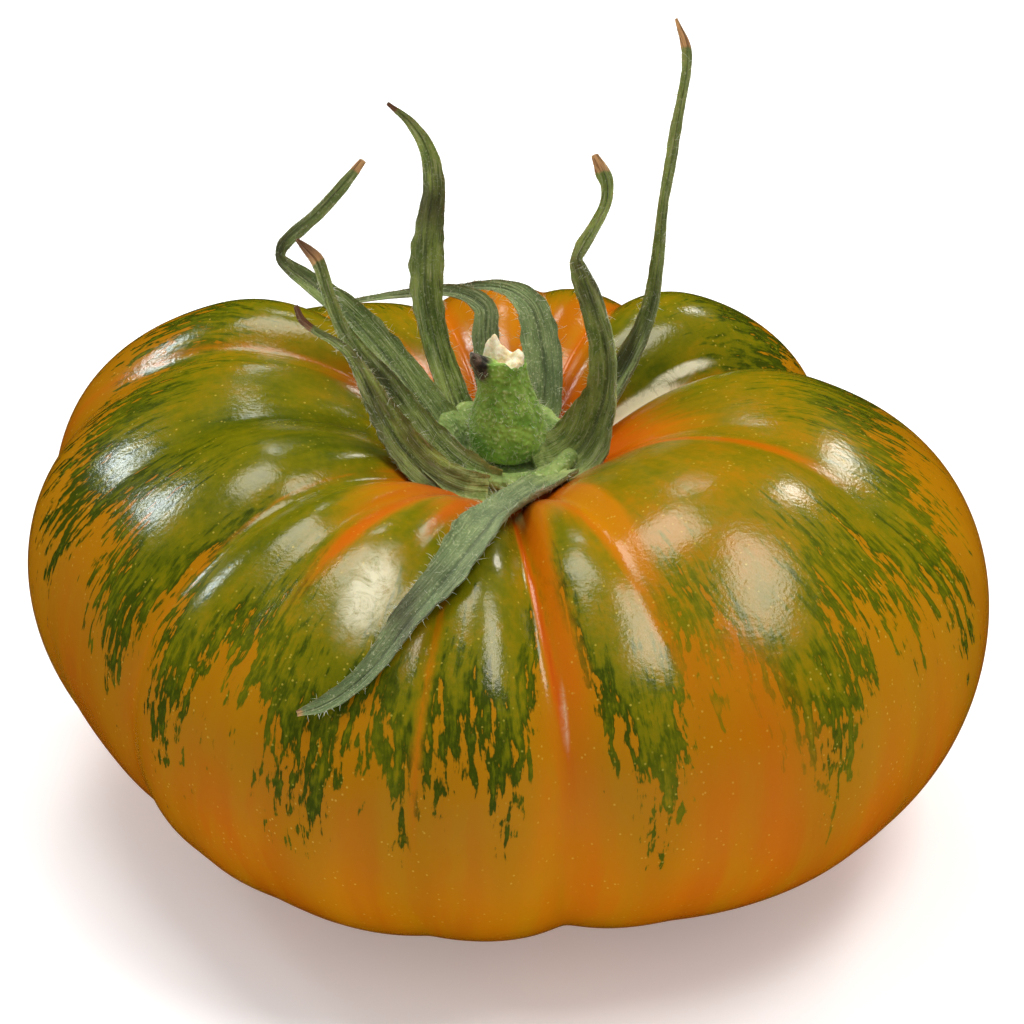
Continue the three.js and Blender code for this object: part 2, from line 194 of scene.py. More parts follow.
def write_attribute(piece, name, values):
    """Stores one number or one vector for each vertex, for the material to read."""
    values = np.ascontiguousarray(values, np.float32)
    kind, key = ("FLOAT_VECTOR", "vector") if values.ndim == 2 else ("FLOAT", "value")
    piece.data.attributes.new(name, kind, "POINT").data.foreach_set(key, values.ravel())


def node(tree, kind, inputs=None, **settings):
    """Adds a shader node, sets its settings, and links or sets its inputs."""
    made = tree.nodes.new("ShaderNode" + kind)
    for key, value in settings.items():
        setattr(made, key, value)
    for key, value in (inputs or {}).items():
        if isinstance(value, bpy.types.NodeSocket):
            tree.links.new(value, made.inputs[key])
        else:
            made.inputs[key].default_value = value
    return made


def sums(tree, operation, a, b=0.0, c=0.0):
    """Output of one Math node."""
    return node(tree, "Math", {0: a, 1: b, 2: c}, operation=operation).outputs[0]


def times(tree, a, b):
    """Product of two values."""
    return sums(tree, "MULTIPLY", a, b)


def span(tree, value, low, high, out_low=0.0, out_high=1.0):
    """Value eased from out_low at low to out_high at high."""
    inputs = {"Value": value, "From Min": low, "From Max": high, "To Min": out_low, "To Max": out_high}
    return node(tree, "MapRange", inputs, interpolation_type="SMOOTHSTEP").outputs["Result"]


def tint(tree, share, a, b):
    """Colour a turned towards colour b by share."""
    return node(tree, "Mix", {0: share, 6: a, 7: b}, data_type="RGBA").outputs[2]


def noise_at(tree, place, scale, detail, roughness=0.5, distortion=0.0):
    """Noise about 0.5, with scale cells to the unit of place."""
    inputs = {"Vector": place, "Scale": scale, "Detail": detail}
    inputs |= {"Roughness": roughness, "Distortion": distortion}
    return node(tree, "TexNoise", inputs).outputs["Fac"]


def about_middle(tree, noise, height, base):
    """Base plus height times the noise less 0.5."""
    return sums(tree, "MULTIPLY_ADD", sums(tree, "SUBTRACT", noise, 0.5), height, base)


def rgb(r, g, b):
    """Linear colour from the 0 to 255 values seen on screen."""
    c = np.array((r, g, b)) / 255
    return (*np.where(c <= 0.04045, c / 12.92, ((c + 0.055) / 1.055) ** 2.4), 1.0)


def value_of(tree, name, output="Fac"):
    """Output of the node that reads a vertex attribute."""
    return node(tree, "Attribute", attribute_name=name).outputs[output]


def new_group(name, inputs, outputs):
    """An empty shader node group with named inputs (name, kind, default) and outputs (name, kind)."""
    group = bpy.data.node_groups.new(name, "ShaderNodeTree")
    for title, kind, default in inputs:
        socket = group.interface.new_socket(title, in_out="INPUT", socket_type="NodeSocket" + kind)
        if default is not None:
            socket.default_value = default
    for title, kind in outputs:
        group.interface.new_socket(title, in_out="OUTPUT", socket_type="NodeSocket" + kind)
    return group, group.nodes.new("NodeGroupInput").outputs, group.nodes.new("NodeGroupOutput")


def patch_group():
    """Blotches: noise at Size, eased from Low to High into a mask."""
    group, given, out = new_group(
        "Patches",
        [
            ("Place", "Vector", None),
            ("Size", "Float", 5.0),
            ("Detail", "Float", 3.0),
            ("Low", "Float", 0.4),
            ("High", "Float", 0.6),
        ],
        [("Mask", "Float")],
    )
    noise = noise_at(group, given["Place"], given["Size"], given["Detail"], 0.6)
    group.links.new(span(group, noise, given["Low"], given["High"]), out.inputs["Mask"])
    return group


def grain_group():
    """Fine relief: two sizes of noise plus Height as a bump, Depth in metres."""
    group, given, out = new_group(
        "FineGrain",
        [
            ("Place", "Vector", None),
            ("Size", "Float", 1000.0),
            ("Depth", "Float", 0.00002),
            ("Height", "Float", 0.0),
        ],
        [("Normal", "Vector")],
    )
    small = noise_at(group, given["Place"], given["Size"], 3.0)
    large = noise_at(group, given["Place"], times(group, given["Size"], 0.13), 2.0)
    both = sums(group, "MULTIPLY_ADD", large, 2.2, small)
    height = sums(group, "ADD", both, given["Height"])
    bump = node(group, "Bump", {"Height": height, "Distance": given["Depth"]})
    group.links.new(bump.outputs["Normal"], out.inputs["Normal"])
    return group


PATCHES = patch_group()
FINE_GRAIN = grain_group()


def patches(tree, place, size, low, high, detail=3.0):
    """Mask of blotches from the shared node group."""
    inputs = {"Place": place, "Size": size, "Low": low, "High": high, "Detail": detail}
    return node(tree, "Group", inputs, node_tree=PATCHES).outputs["Mask"]


def grain(tree, place, size, depth, height=0.0):
    """Normal with fine relief from the shared node group."""
    inputs = {"Place": place, "Size": size, "Depth": depth, "Height": height}
    return node(tree, "Group", inputs, node_tree=FINE_GRAIN).outputs["Normal"]


def new_material(name, **settings):
    """A material with its Principled shader, whose constant sockets are set here."""
    material = bpy.data.materials.new(name)
    material.use_nodes = True
    shader = material.node_tree.nodes["Principled BSDF"]
    for key, value in settings.items():
        shader.inputs[key.replace("_", " ")].default_value = value
    return material, material.node_tree, shader


def dress(tree, shader, **outputs):
    """Links each output to the shader's socket of that name."""
    for key, output in outputs.items():
        tree.links.new(output, shader.inputs[key.replace("_", " ")])


# How ripe each side is: azimuth, distance from the stalk in mm where the green begins and where it
# ends, and how dark it is.
GREEN = np.array(
    [
        (2, 20, 50, 0.5), (12, 20, 52, 0.55), (22, 20, 46, 0.5), (35, 17, 54, 0.7),
        (47, 18, 55, 0.7), (58, 24, 49, 0.5), (66, 44, 42, 0.3), (76, 34, 52, 0.35),
        (90, 38, 54, 0.35), (104, 44, 42, 0.3), (118, 22, 54, 0.45), (135, 34, 47, 0.4),
        (150, 16, 50, 0.6), (163, 24, 50, 0.5), (171, 14, 53, 0.6), (180, 14, 57, 0.65),
        (189, 14, 62, 0.8), (197, 14, 55, 0.65), (205, 14, 59, 0.7), (212, 16, 68, 0.8),
        (218, 19, 55, 0.6), (224, 23, 68, 0.75), (232, 30, 60, 0.5), (239, 32, 59, 0.5),
        (247, 24, 70, 0.65), (253, 26, 59, 0.6), (259, 28, 68, 0.65), (266, 22, 61, 0.7),
        (271, 24, 67, 0.6), (277, 36, 46, 0.4), (282, 27, 58, 0.55), (288, 30, 70, 0.5),
        (294, 42, 56, 0.3), (300, 19, 55, 0.28), (308, 15, 70, 0.36), (315, 13, 58, 0.32),
        (322, 13, 57, 0.36), (329, 15, 57, 0.4), (335, 20, 65, 0.52), (343, 22, 57, 0.42),
        (352, 24, 50, 0.4),
    ]
)
# Ripe orange stripes: azimuth at the waist, drift in degrees over the height, width, from and to in mm
# from the stalk, strength.
STRIPES = np.array(
    [
        (276.5, 20, 0.8, 0, 60, 0.85), (278.5, 14, 3.0, 0, 58, 0.5), (293, 26, 1.8, 0, 56, 0.36),
        (299, 26, 7.0, 46, 80, 0.34), (218.3, -8, 0.6, 22, 66, 0.34), (237, -26, 3.0, 8, 42, 0.6),
        (251, -10, 2.4, 8, 30, 0.6), (260, -4, 0.9, 14, 70, 0.42), (162, 6, 1.2, 10, 66, 0.36),
        (338, 16, 3.2, 8, 40, 0.55), (30, 0, 2.2, 0, 56, 0.5), (66, 0, 2.6, 0, 64, 0.5),
        (83, 0, 2.6, 0, 50, 0.45), (104, 0, 2.6, 0, 64, 0.5), (135, 0, 2.2, 0, 56, 0.5),
    ]
)
# Corky marks: azimuth, distance from the stalk in mm, half width in degrees, half length in mm, strength.
SCARS = np.array(
    [
        (248, 40.5, 4.4, 7, 0.8), (31, 19, 2.4, 9, 2.0),
        (33.5, 29, 1.0, 6, 1.3), (277.6, 55, 0.45, 5, 0.6),
    ]
)
# Share of the way down where a stripe's azimuth is given, and the mm over which it comes and goes.
STRIPE_WAIST, STRIPE_COMES, STRIPE_GOES = 0.45, 6, 14
# Where the red of the hollow ends, and the mm over which it fades.
HOLLOW_END, HOLLOW_FADE = 26, 22
# The grain's step for each mm from the stalk, against one for each radian round it.
DRAWN_OUT = 0.0026

angles = np.arange(FRUIT_COLUMNS) * 360 / FRUIT_COLUMNS
fine = np.linspace(0, 1, OUTLINE_STEPS)
outline = spline_weights(fine, len(MERIDIAN)) @ MERIDIAN[:, :2]
travel = np.r_[0, np.cumsum(np.hypot(*np.diff(outline, axis=0).T))]
from_stalk = np.linspace(0, travel[-1], FRUIT_RINGS + 2)
s = np.interp(from_stalk, travel, fine)
points = fruit_points(angles, s)


def per_vertex(rows):
    """One value for each vertex of the fruit out of rows by columns."""
    return np.concatenate([rows[0, :1], rows[1:-1].reshape(-1, *rows.shape[2:]), rows[-1, :1]])


def stripe_field(angles, away, s):
    """Largest of the stripes: strength times exp(-(angle / width)^2), coming and going along its run."""
    at, drift, width, start, end, strength = STRIPES.T[:, :, None, None]
    a = turned(angles[None, None, :], at + drift * (s[None, :, None] - STRIPE_WAIST))
    d = away[None, :, None]
    run = np.clip((d - start) / STRIPE_COMES + 0.5, 0, 1) * np.clip((end - d) / STRIPE_GOES + 0.5, 0, 1)
    return (strength * run * np.exp(-((a / width) ** 2))).max(axis=0)


def scar_field(angles, away):
    """Largest of the scars: strength times exp(-q^3), q the distance from its centre in half sizes."""
    at, along, width, length, strength = SCARS.T[:, :, None, None]
    a = turned(angles[None, None, :], at) / width
    d = (away[None, :, None] - along) / length
    return (strength * np.exp(-((a**2 + d**2) ** 1.5))).max(axis=0)


skin, tree, shader = new_material(
    "TomatoSkin",
    IOR=1.42,
    Subsurface_Weight=0.1,
    Subsurface_Radius=(0.9, 0.35, 0.1),
    Subsurface_Scale=0.002,
    Specular_Tint=(1.0, 0.95, 0.85, 1.0),
)
flow = value_of(tree, "flow", "Vector")
to_edge = value_of(tree, "green_left")
past_start = value_of(tree, "green_begun")
depth_of_green = value_of(tree, "green_depth")
stripe = value_of(tree, "stripe")
scar = value_of(tree, "scar")
hollow = value_of(tree, "hollow")
place = node(tree, "TexCoord").outputs["Object"]

# The skin's grain follows the meridians, swaying a little.
sway = node(tree, "TexNoise", {"Vector": place, "Scale": 90.0, "Detail": 2.0}).outputs["Color"]
sway = node(tree, "VectorMath", {0: sway, 1: (0.5, 0.5, 0.5)}, operation="SUBTRACT").outputs[0]
sway = node(tree, "VectorMath", {0: sway, 1: (0.05, 0.05, 0.0)}, operation="MULTIPLY").outputs[0]
wavy = node(tree, "VectorMath", {0: flow, 1: sway}, operation="ADD").outputs[0]

# Ripe colour: amber, deeper orange where the stripes run and red-orange in the hollow.
warmth = patches(tree, flow, 3.0, 0.3, 0.7, 4.0)
ripe = tint(tree, warmth, rgb(170, 90, 2), rgb(190, 120, 3))
blush = patches(tree, place, 28.0, 0.42, 0.7, 3.0)
ripe = tint(tree, times(tree, blush, 0.5), ripe, rgb(196, 84, 3))
gold = patches(tree, wavy, 9.0, 0.46, 0.64, 5.0)
ripe = tint(tree, times(tree, gold, 0.5), ripe, rgb(176, 122, 2))
ripe = tint(tree, span(tree, stripe, 0.05, 0.7, 0.0, 0.8), ripe, rgb(192, 88, 4))
ripe = tint(tree, span(tree, stripe, 0.6, 1.0, 0.0, 0.7), ripe, rgb(184, 60, 4))
ripe = tint(tree, span(tree, hollow, 0.0, 0.9), ripe, rgb(200, 82, 4))

# The green ends in drips: noise drawn out along the meridians swings its edge up and down, in mm.
blot_place = node(tree, "VectorMath", {0: wavy, 1: (1.0, 1.0, 3.4)}, operation="MULTIPLY").outputs[0]
drips = noise_at(tree, wavy, 24.0, 4.0, 0.65)
threads = noise_at(tree, wavy, 64.0, 3.0, 0.6)
blots = noise_at(tree, blot_place, 52.0, 3.0, 0.6)
EDGE_BACK, DRIP_SWING, THREAD_SWING, BLOT_SWING, START_SWING = 4.0, 26.0, 38.0, 30.0, 10.0
ragged = about_middle(tree, drips, DRIP_SWING, sums(tree, "SUBTRACT", to_edge, EDGE_BACK))
ragged = about_middle(tree, threads, THREAD_SWING, ragged)
ragged = about_middle(tree, blots, BLOT_SWING, ragged)
body = span(tree, ragged, -1.2, 2.4)
begun = about_middle(tree, drips, START_SWING, past_start)
body = times(tree, body, span(tree, begun, -7.0, 4.0))
ripe_line = about_middle(tree, blots, 0.5, stripe)
body = times(tree, body, span(tree, ripe_line, 0.1, 0.55, 1.0, 0.0))

# Unripe colour: olive on the shoulders, darkest just above the drips, flecked with yellow.
near_edge = span(tree, ragged, 3.0, 15.0, 1.0, 0.0)
mottle = noise_at(tree, blot_place, 16.0, 5.0, 0.65)
clouds = noise_at(tree, place, 70.0, 4.0, 0.65)
speckle = noise_at(tree, place, 1100.0, 2.0, 0.6)
darkness = sums(tree, "MULTIPLY_ADD", near_edge, 0.42, times(tree, depth_of_green, 0.85))
darkness = about_middle(tree, mottle, 0.6, darkness)
darkness = about_middle(tree, clouds, 0.9, darkness)
darkness = about_middle(tree, speckle, 0.35, darkness)
ramp = node(tree, "ValToRGB", {"Fac": darkness})
stops = ramp.color_ramp.elements
stops[0].position, stops[0].color = 0.12, rgb(158, 112, 5)
stops[1].position, stops[1].color = 1.0, rgb(56, 66, 6)
for position, colour in ((0.32, rgb(136, 112, 6)), (0.55, rgb(108, 104, 6)), (0.8, rgb(80, 86, 6))):
    stops.new(position).color = colour
haze = span(tree, to_edge, -20.0, 4.0)
haze = times(tree, haze, span(tree, past_start, -8.0, 12.0, 0.0, 0.7))
haze = times(tree, haze, span(tree, stripe, 0.1, 0.7, 1.0, 0.0))
colour = tint(tree, haze, ripe, rgb(156, 110, 5))
colour = tint(tree, body, colour, ramp.outputs["Color"])

# Pale specks, and the silvery cork of old scars.
specks = node(tree, "TexVoronoi", {"Vector": place, "Scale": 1200.0})
dot = span(tree, specks.outputs["Distance"], 0.08, 0.2, 1.0, 0.0)
dot = times(tree, dot, patches(tree, place, 300.0, 0.42, 0.62, 2.0))
colour = tint(tree, times(tree, dot, 0.42), colour, rgb(214, 186, 70))
swirls = noise_at(tree, place, 420.0, 5.0, 0.75, 1.6)
net = span(tree, sums(tree, "MULTIPLY_ADD", scar, 0.2, swirls), 0.38, 0.78, 0.12, 0.9)
cork = times(tree, span(tree, scar, 0.1, 1.0), net)
colour = tint(tree, cork, colour, rgb(232, 224, 190))
rough = sums(tree, "MULTIPLY_ADD", noise_at(tree, place, 180.0, 3.0), 0.12, 0.12)
rough = sums(tree, "MULTIPLY_ADD", cork, 0.35, rough)
relief = grain(tree, place, 2100.0, 0.00003, times(tree, cork, 2.0))
dress(tree, shader, Base_Color=colour, Roughness=rough, Normal=relief)

faces = ring_faces(FRUIT_RINGS, FRUIT_COLUMNS)
fruit = new_piece("fruit_skin", per_vertex(points), faces, ["fruit"], skin)
away = from_stalk[:, None] + 0 * angles[None, :]
start, reach, dark = (round_spline(angles, GREEN[:, 0], GREEN[:, k])[None, :] for k in (1, 2, 3))
a = np.radians(angles)
for title, values in (
    ("flow", np.stack([np.cos(a) + 0 * away, np.sin(a) + 0 * away, away * DRAWN_OUT], axis=-1)),
    ("green_left", reach - away),
    ("green_begun", away - start),
    ("green_depth", dark + 0 * away),
    ("stripe", stripe_field(angles, from_stalk, s)),
    ("scar", scar_field(angles, from_stalk)),
    ("hollow", np.clip((HOLLOW_END - away) / HOLLOW_FADE, 0, 1)),
):
    write_attribute(fruit, title, per_vertex(values))

# ---- The calyx base
# A small dish of pale green flesh set on the floor of the hollow. The stalk stands in the dish,
# and its rim runs out into a lobe under the root of each sepal.

DISH = np.array(
    [
        (0, 39.8), (3.5, 39.8), (5.6, 40.4), (6.6, 41.1),
        (6.95, 41.9), (6.7, 42.6), (6.1, 42.75), (5.5, 42.3),
        (5.0, 41.6), (4.5, 41.1), (2, 41), (0, 41),
    ]
)
# Azimuth of each sepal's root and how far the rim rises there in mm.
ROOTS = np.array(
    [
        (345.3, -0.2), (23.4, 0.6), (63.8, 1.2), (98.7, 1.6), (131.9, 1.9),
        (165, 2.3), (199.3, 1.4), (234.2, 0), (270, -0.9), (304.8, -1.0),
    ]
)
LOBE_WIDTH = 19
LOBE_REACH = 0.8
LOBES_AT_MOST = 1.2
RIM_WAVE, DISH_BUMPS = 0.01, 0.04
# The lobes grow from this radius on, are full this far out, and rise up to this height over the floor.
LOBE_FROM, LOBE_FULL = 3.9, 3.0
WALL_HEIGHT = 2.4
DISH_COLUMNS = 240
DISH_RINGS = 90


def travelled(points):
    """Length of the line through the points, from the first one to each."""
    return np.r_[0, np.cumsum(np.linalg.norm(np.diff(points, axis=0), axis=1))]


def drawn_curve(stations, t):
    """Cubic Hermite curve through the stations at share t of their chord length. Each slope is the rise
    from the station before to the one after, over the chord between them."""
    stations = np.asarray(stations, float)
    reach = travelled(stations[:, :3])
    slope = np.gradient(stations, reach, axis=0)
    slope[1:-1] = (stations[2:] - stations[:-2]) / (reach[2:] - reach[:-2])[:, None]
    place = np.clip(t, 0, 1) * reach[-1]
    i = np.clip(np.searchsorted(reach, place, side="right") - 1, 0, len(stations) - 2)
    gap = (reach[i + 1] - reach[i])[:, None]
    u = (place - reach[i])[:, None] / gap
    return hermite(u, gap, stations[i], stations[i + 1], slope[i], slope[i + 1])


def ripple(values, seed, waves, lowest, highest):
    """Sum of sines of random pitch and phase over the root of their number, about one high."""
    chance = np.random.default_rng(seed)
    pitch = chance.uniform(lowest, highest, waves)
    phase = chance.uniform(0, 2 * np.pi, waves)
    return np.sin(np.asarray(values)[..., None] * pitch + phase).sum(axis=-1) / np.sqrt(waves)


def soft_leaf_material(name, dark, light, crown_highlight_colour):
    """Green calyx tissue: two tones in patches, pimples whose crowns are painted pale as a painted highlight,
    and a felt-like grain.
    """
    material, tree, shader = new_material(
        name,
        IOR=1.4,
        Sheen_Weight=0.3,
        Sheen_Roughness=0.5,
        Sheen_Tint=(0.85, 0.95, 0.6, 1.0),
        Subsurface_Weight=0.08,
        Subsurface_Scale=0.001,
    )
    place = node(tree, "TexCoord").outputs["Object"]
    tone = patches(tree, place, 420.0, 0.34, 0.66, 4.0)
    colour = tint(tree, tone, dark, light)
    cells = node(tree, "TexVoronoi", {"Vector": place, "Scale": 2100.0}, feature="SMOOTH_F1")
    pimples = cells.outputs["Distance"]
    # The crowns of the pimples are painted pale in patches: a painted highlight.
    crown_highlight = span(tree, pimples, 0.08, 0.4, 0.75, 0.0)
    lit_pimples = times(tree, crown_highlight, patches(tree, place, 700.0, 0.4, 0.6, 2.0))
    colour = tint(tree, lit_pimples, colour, crown_highlight_colour)
    rough = span(tree, tone, 0.0, 1.0, 0.72, 0.55)
    relief = grain(tree, place, 1800.0, 0.00012, times(tree, pimples, -2.0))
    dress(tree, shader, Base_Color=colour, Roughness=rough, Normal=relief)
    return material


flesh = soft_leaf_material("CalyxFlesh", rgb(106, 132, 56), rgb(152, 172, 88), rgb(206, 216, 150))
t = (np.arange(DISH_RINGS) + 1) / (DISH_RINGS + 1)
profile = drawn_curve(DISH, t)
a = np.arange(DISH_COLUMNS) * 360 / DISH_COLUMNS
lobe = np.exp(-((turned(a[:, None], ROOTS[None, :, 0]) / LOBE_WIDTH) ** 2))
outer = np.clip((profile[:, :1] - LOBE_FROM) / LOBE_FULL, 0, 1) ** 2
climb = np.clip(profile[:, 1:] - DISH[0, 1], 0, WALL_HEIGHT) / WALL_HEIGHT
turn = np.radians(a)
rim = 1 + RIM_WAVE * ripple(turn, 3, 6, 9, 30)[None, :] * outer
r = profile[:, :1] * rim + LOBE_REACH * outer * np.minimum(lobe.sum(axis=1), LOBES_AT_MOST)[None, :]
z = profile[:, 1:] + outer * (lobe @ ROOTS[:, 1])[None, :] * climb
dish = np.stack([r * np.cos(turn), r * np.sin(turn), z], axis=-1)
bumps = DISH_BUMPS * outer * ripple(dish @ (1.0, 1.4, 0.8), 5, 6, 2, 6)
dish[..., 2] += bumps * ripple(dish @ (1.3, -1.0, 0.5), 6, 6, 2, 6)
dish = np.concatenate([[(0, 0, DISH[0, 1])], dish.reshape(-1, 3), [(0, 0, DISH[-1, 1])]])
faces = ring_faces(DISH_RINGS, DISH_COLUMNS, flipped=True)
new_piece("calyx_dish", dish, faces, ["calyx_base"], flesh)

# ---- The stalk
# The pear-shaped stub of the stalk, green and warty, narrowing to the joint where the truss
# snapped off. A dark knob of dead tissue sticks out on the left below the break.

STALK_PROFILE = np.array(
    [
        (2.6, 41.3), (3.6, 41.9), (4.15, 43.2), (4.05, 45),
        (3.5, 47.2), (2.85, 49.3), (2.5, 51), (2.45, 52.2),
    ]
)
STALK_LEAN = np.array((-0.06, 0.02))
# The break is higher in front and at the knob: azimuth, spread in degrees, rise in mm.
BREAK_RISES = np.array([(265, 34, 1.0), (205, 27, 1.9)])
BREAK_FROM, BREAK_SPAN, BREAK_JAGS = 0.72, 0.26, 0.12
KNOB_AT, KNOB_FROM_TOP, KNOB_REACH, KNOB_WIDTH, KNOB_TALL = 207, 0.05, 1.3, 32, 0.11
RIDGES_FROM, RIDGES_FADE = 42, 3
RIDGE_HEIGHT, WART_HEIGHT = 0.06, 0.05
STALK_COLUMNS = 200
STALK_RINGS = 150


def lean_at(z):
    """Middle of the stalk at height z: the lean times the height above its foot."""
    return STALK_LEAN * (z - STALK_PROFILE[0, 1])


stalk_material = soft_leaf_material("StalkSkin", rgb(98, 140, 36), rgb(144, 178, 68), rgb(196, 212, 134))
tree = stalk_material.node_tree
shader = tree.nodes["Principled BSDF"]
green = shader.inputs["Base Color"].links[0].from_socket
dead = span(tree, value_of(tree, "dead"), 0.2, 0.5)
crust = patches(tree, node(tree, "TexCoord").outputs["Object"], 900.0, 0.4, 0.6, 4.0)
scab = tint(tree, crust, rgb(34, 24, 16), rgb(94, 74, 58))
dress(tree, shader, Base_Color=tint(tree, dead, green, scab))
t = (np.arange(STALK_RINGS) + 1) / (STALK_RINGS + 1)
profile = drawn_curve(STALK_PROFILE, t)
a = np.arange(STALK_COLUMNS) * 360 / STALK_COLUMNS
turn = np.radians(a)
t = t[:, None]
spread = turned(a[:, None], BREAK_RISES[:, 0]) / BREAK_RISES[:, 1]
rises = (BREAK_RISES[:, 2] * np.exp(-(spread**2))).sum(axis=1)
jagged = (rises + BREAK_JAGS * ripple(turn, 14, 6, 5, 18))[None, :]
z = profile[:, 1:] + jagged * np.clip((t - BREAK_FROM) / BREAK_SPAN, 0, 1) ** 1.5
knob = np.exp(-((turned(a, KNOB_AT)[None, :] / KNOB_WIDTH) ** 2) - ((1 - t - KNOB_FROM_TOP) / KNOB_TALL) ** 2)
knob = knob * (1 + 0.25 * ripple(turn, 15, 4, 8, 20)[None, :] * ripple(z, 16, 4, 3, 8))
ridges = RIDGE_HEIGHT * ripple(turn, 11, 5, 5, 16)[None, :] * np.clip((z - RIDGES_FROM) / RIDGES_FADE, 0, 1)
warts = WART_HEIGHT * ripple(z, 12, 5, 2, 7) * ripple(turn, 13, 5, 6, 26)[None, :]
r = profile[:, :1] + KNOB_REACH * knob + ridges + warts
lean = lean_at(z[..., None])
stub = np.stack([r * np.cos(turn) + lean[..., 0], r * np.sin(turn) + lean[..., 1], z], axis=-1).reshape(-1, 3)
ends = [np.append(lean_at(z_end), z_end) for z_end in STALK_PROFILE[[0, -1], 1]]
stub = np.concatenate([ends[:1], stub, ends[1:]])
faces = ring_faces(STALK_RINGS, STALK_COLUMNS, flipped=True)
stalk = new_piece("stalk_stub", stub, faces, ["stalk"], stalk_material)
write_attribute(stalk, "dead", np.r_[0, knob.ravel(), 0.0])

# ---- The torn pith
# The cream fibres left standing where the stalk snapped: a ragged tuft that is high at the back on
# the left and falls away to the right, held inside the broken rim of the stub.

PITH_BASE = 52.0
PITH_RADIUS = 2.2
PITH_FOOT, PITH_FLARE, PITH_CLOSES = 0.8, 0.2, 0.97
PITH_WAVE, PITH_LOWEST = 0.05, 0.35
# Each tuft of fibre: x and y from the middle of the break, spread and height in mm.
TUFTS = np.array(
    [
        (-1.3, 0.9, 0.85, 2.1), (-0.4, 0.5, 0.8, 1.3), (0.7, 0.2, 0.8, 0.8),
        (1.75, -0.2, 0.65, 1.2), (1.3, -1.2, 0.6, 0.6),
    ]
)
PITH_COLUMNS = 180
PITH_RINGS = 70
PITH_SIDE_RINGS = 14

pith_material, tree, shader = new_material("TornPith", IOR=1.4, Subsurface_Weight=0.25, Subsurface_Scale=0.001)
place = node(tree, "TexCoord").outputs["Object"]
fibre = patches(tree, place, 1100.0, 0.35, 0.65, 4.0)
colour = tint(tree, fibre, rgb(238, 214, 160), rgb(255, 246, 216))
stain = patches(tree, place, 420.0, 0.56, 0.72, 3.0)
colour = tint(tree, times(tree, stain, 0.55), colour, rgb(206, 150, 80))
rough = span(tree, fibre, 0.0, 1.0, 0.9, 0.7)
dress(tree, shader, Base_Color=colour, Roughness=rough, Normal=grain(tree, place, 2400.0, 0.00015))
a = np.radians(np.arange(PITH_COLUMNS) * 360 / PITH_COLUMNS)[None, :]
ring = np.arange(PITH_RINGS)[:, None]
side = np.clip(ring / PITH_SIDE_RINGS, 0, 1)
inward = np.clip((ring - PITH_SIDE_RINGS) / (PITH_RINGS - PITH_SIDE_RINGS), 0, 1)
edge = PITH_RADIUS * (1 + PITH_WAVE * ripple(a[0], 21, 8, 3, 22))[None, :]
r = edge * (1 - PITH_CLOSES * inward) * (PITH_FOOT + PITH_FLARE * np.clip(side * 6, 0, 1))
x, y = r * np.cos(a), r * np.sin(a)
away = (x[..., None] - TUFTS[:, 0]) ** 2 + (y[..., None] - TUFTS[:, 1]) ** 2
tuft = (TUFTS[:, 3] * np.exp(-((away / TUFTS[:, 2] ** 2) ** 1.6))).sum(axis=-1)
torn = 1 + 0.1 * ripple(x * 1.3 + y * 0.4, 23, 5, 2, 8) * (1 + ripple(y * 1.3 - x * 0.5, 24, 5, 2, 8))
z = PITH_BASE + side * (PITH_LOWEST + tuft * np.clip(torn, 0.5, 1.5))
centre = lean_at(PITH_BASE)
cap = np.stack([centre[0] + x, centre[1] + y, z], axis=-1)
cap = np.concatenate([[(*centre, PITH_BASE)], cap.reshape(-1, 3), [(*centre, float(z[-1].mean()))]])
faces = ring_faces(PITH_RINGS, PITH_COLUMNS, flipped=True)
new_piece("torn_pith_cap", cap, faces, ["stalk_pith"], pith_material)

# ---- The sepals
# Nine narrow leaves grown from the rim of the dish, now drying: thin green channels with a sunken
# midrib and pleats along them, curled, kinked and browned at the tips, their edges set with hairs.

